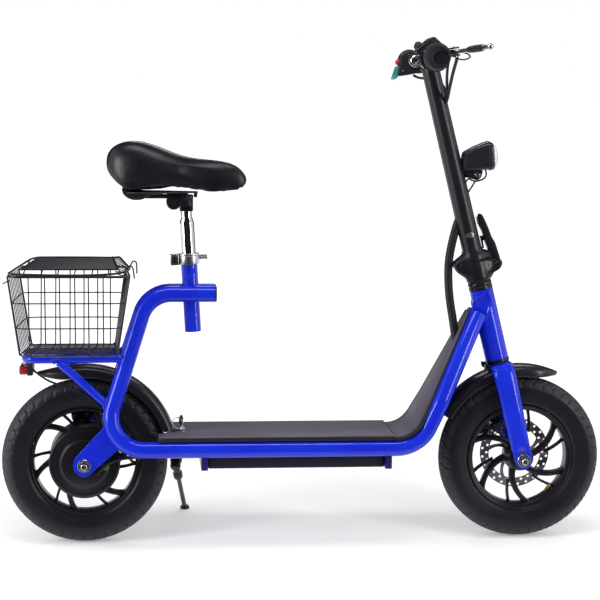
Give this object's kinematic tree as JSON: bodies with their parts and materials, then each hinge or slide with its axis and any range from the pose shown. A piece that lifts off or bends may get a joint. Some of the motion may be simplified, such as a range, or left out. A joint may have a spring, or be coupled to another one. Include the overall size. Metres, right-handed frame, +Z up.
{
  "type": "electric scooter",
  "caption": "Seated electric scooter with a low deck, twin-tube frame, hub motor, folding stem, saddle on a height-adjustable post and a lidded rear basket, on its kickstand.",
  "frame": {"origin": "on the ground under the middle of the whole scooter's bounding box", "axes": "+X forward, +Y to the rider's left, +Z up; it leans to the left on its stand"},
  "size_m": [1.167, 0.5676, 0.977],
  "materials": {
    "aluminium": "plain",
    "black_leather": "soft grain",
    "black_paint": "satin paint",
    "black_plastic": "textured",
    "blue_paint": "gloss paint",
    "cast_alloy": "black painted casting",
    "cell_wrap": "shrink wrap",
    "chrome": "polished",
    "clear_lens": "clear",
    "red_plastic": "gloss",
    "rubber": "matt",
    "steel": "brushed",
    "tyre_rubber": "matt"
  },
  "bodies": {
    "frame": {"main_frame": "blue_paint", "tube_end_cap": "black_plastic", "deck_board": "black_plastic", "front_shield": "black_plastic", "battery_case": "black_paint", "battery_pack": "cell_wrap", "motor_controller": "aluminium", "rear_fender": "black_plastic", "basket": "black_paint", "tail_light_housing": "black_plastic", "tail_light_lens": "red_plastic", "rear_axle": "steel", "motor_stator": "steel", "motor_cable": "rubber", "tail_light_cable": "rubber", "rear_caliper": "black_paint", "seat_collar": "steel", "key_lock": "steel", "headset": "black_paint", "cable_bundle": "rubber"},
    "rear_wheel": {"rear_tyre": "tyre_rubber", "rear_rim": "cast_alloy", "hub_cover": "cast_alloy", "rear_disc": "steel"},
    "steering": {"fork": "blue_paint", "front_fender": "black_plastic", "front_axle": "steel", "front_caliper": "black_paint", "fold_base": "black_paint"},
    "front_wheel": {"front_tyre": "tyre_rubber", "front_rim": "cast_alloy", "front_disc": "steel", "front_bearings": "steel"},
    "stem": {"stem": "black_paint", "handlebar": "black_paint", "grip_left": "rubber", "display_unit": "black_plastic", "control_pod": "black_plastic", "bar_cables": "rubber", "lever_mount_left": "black_paint", "lever_mount_right": "black_paint", "throttle_housing": "black_plastic", "headlight": "black_plastic", "headlight_lens": "clear_lens"},
    "fold_latch": {"latch_lever": "black_paint"},
    "brake_lever_left": {"brake_lever_left": "steel"},
    "brake_lever_right": {"brake_lever_right": "steel"},
    "throttle": {"grip_right": "rubber"},
    "power_button": {"power_button": "red_plastic"},
    "front_brake_arm": {"front_brake_arm": "steel"},
    "rear_brake_arm": {"rear_brake_arm": "steel"},
    "seat": {"seatpost": "chrome", "saddle_clamp": "black_paint", "saddle_rails": "black_paint", "saddle_base": "black_plastic", "saddle_cushion": "black_leather"},
    "seat_lever": {"seat_lever": "aluminium"},
    "kickstand": {"kickstand": "black_paint"},
    "basket_lid": {"basket_lid": "black_paint"},
    "key": {"key": "steel"}
  },
  "joints": [
    {"name": "rear_wheel_spin", "type": "hinge", "parent": "frame", "child": "rear_wheel", "pos_m": [-0.42475, -0.08077, 0.1583], "axis": [0, 0.9945, -0.1045], "continuous": true},
    {"name": "steering_turn", "type": "hinge", "parent": "frame", "child": "steering", "pos_m": [0.34225, -0.0451, 0.49768], "axis": [-0.2419, 0.1014, 0.965], "range_deg": [-50, 50], "deforming": ["cable_bundle"]},
    {"name": "front_wheel_spin", "type": "hinge", "parent": "steering", "child": "front_wheel", "pos_m": [0.42475, -0.08077, 0.1583], "axis": [0, 0.9945, -0.1045], "continuous": true},
    {"name": "stem_fold", "type": "hinge", "parent": "steering", "child": "stem", "pos_m": [0.29716, -0.04131, 0.53365], "axis": [0, -0.9945, 0.1045], "range_deg": [0, 90], "deforming": ["cable_bundle"]},
    {"name": "fold_latch_swing", "type": "hinge", "parent": "steering", "child": "fold_latch", "pos_m": [0.37574, -0.04099, 0.53673], "axis": [0, 0.9945, -0.1045], "range_deg": [0, 110]},
    {"name": "left_brake_squeeze", "type": "hinge", "parent": "stem", "child": "brake_lever_left", "pos_m": [0.27867, 0.12089, 0.92097], "axis": [-0.1565, 0.101, 0.9825], "range_deg": [0, 18], "stiffness_Nm_per_rad": 1.5, "springref_deg": -20.05},
    {"name": "right_brake_squeeze", "type": "hinge", "parent": "stem", "child": "brake_lever_right", "pos_m": [0.26449, -0.12419, 0.94318], "axis": [0.1568, -0.0952, -0.983], "range_deg": [0, 18], "stiffness_Nm_per_rad": 1.5, "springref_deg": -20.05},
    {"name": "throttle_twist", "type": "hinge", "parent": "stem", "child": "throttle", "pos_m": [0.22908, -0.09949, 0.93514], "axis": [-0.0896, -0.9926, 0.0819], "range_deg": [0, 60], "stiffness_Nm_per_rad": 0.15, "springref_deg": -34.38},
    {"name": "power_button_press", "type": "slide", "parent": "stem", "child": "power_button", "axis": [0.9833, -0.0426, -0.1769], "range_m": [0, 0.002], "stiffness_N_per_m": 300, "springref_m": -0.001},
    {"name": "front_brake_pull", "type": "hinge", "parent": "steering", "child": "front_brake_arm", "pos_m": [0.35629, -0.07631, 0.20064], "axis": [0, 0.9945, -0.1045], "range_deg": [0, 18]},
    {"name": "rear_brake_pull", "type": "hinge", "parent": "frame", "child": "rear_brake_arm", "pos_m": [-0.44443, -0.07259, 0.23605], "axis": [0, 0.9945, -0.1045], "range_deg": [0, 18]},
    {"name": "seat_height", "type": "slide", "parent": "frame", "child": "seat", "axis": [-0.0584, 0.1044, 0.9928], "range_m": [-0.08, 0.03]},
    {"name": "seat_lever_swing", "type": "hinge", "parent": "frame", "child": "seat_lever", "pos_m": [-0.25265, -0.02156, 0.54171], "axis": [-0.0584, 0.1044, 0.9928], "range_deg": [0, 140]},
    {"name": "kickstand_fold", "type": "hinge", "parent": "frame", "child": "kickstand", "pos_m": [-0.24875, -0.01175, 0.12616], "axis": [0.106, 0.7681, 0.6315], "range_deg": [0, 90]},
    {"name": "basket_lid_lift", "type": "hinge", "parent": "frame", "child": "basket_lid", "pos_m": [-0.54675, -0.04128, 0.52443], "axis": [-0.1479, -0.9836, 0.1034], "range_deg": [0, 110]},
    {"name": "key_turn", "type": "hinge", "parent": "frame", "child": "key", "pos_m": [-0.23975, -0.0828, 0.21547], "axis": [0, 0.1045, 0.9945], "range_deg": [0, 90]}
  ],
  "couplings": [
    {"joint": "front_brake_pull", "follows": "left_brake_squeeze", "ratio": 1},
    {"joint": "rear_brake_pull", "follows": "right_brake_squeeze", "ratio": 1}
  ]
}
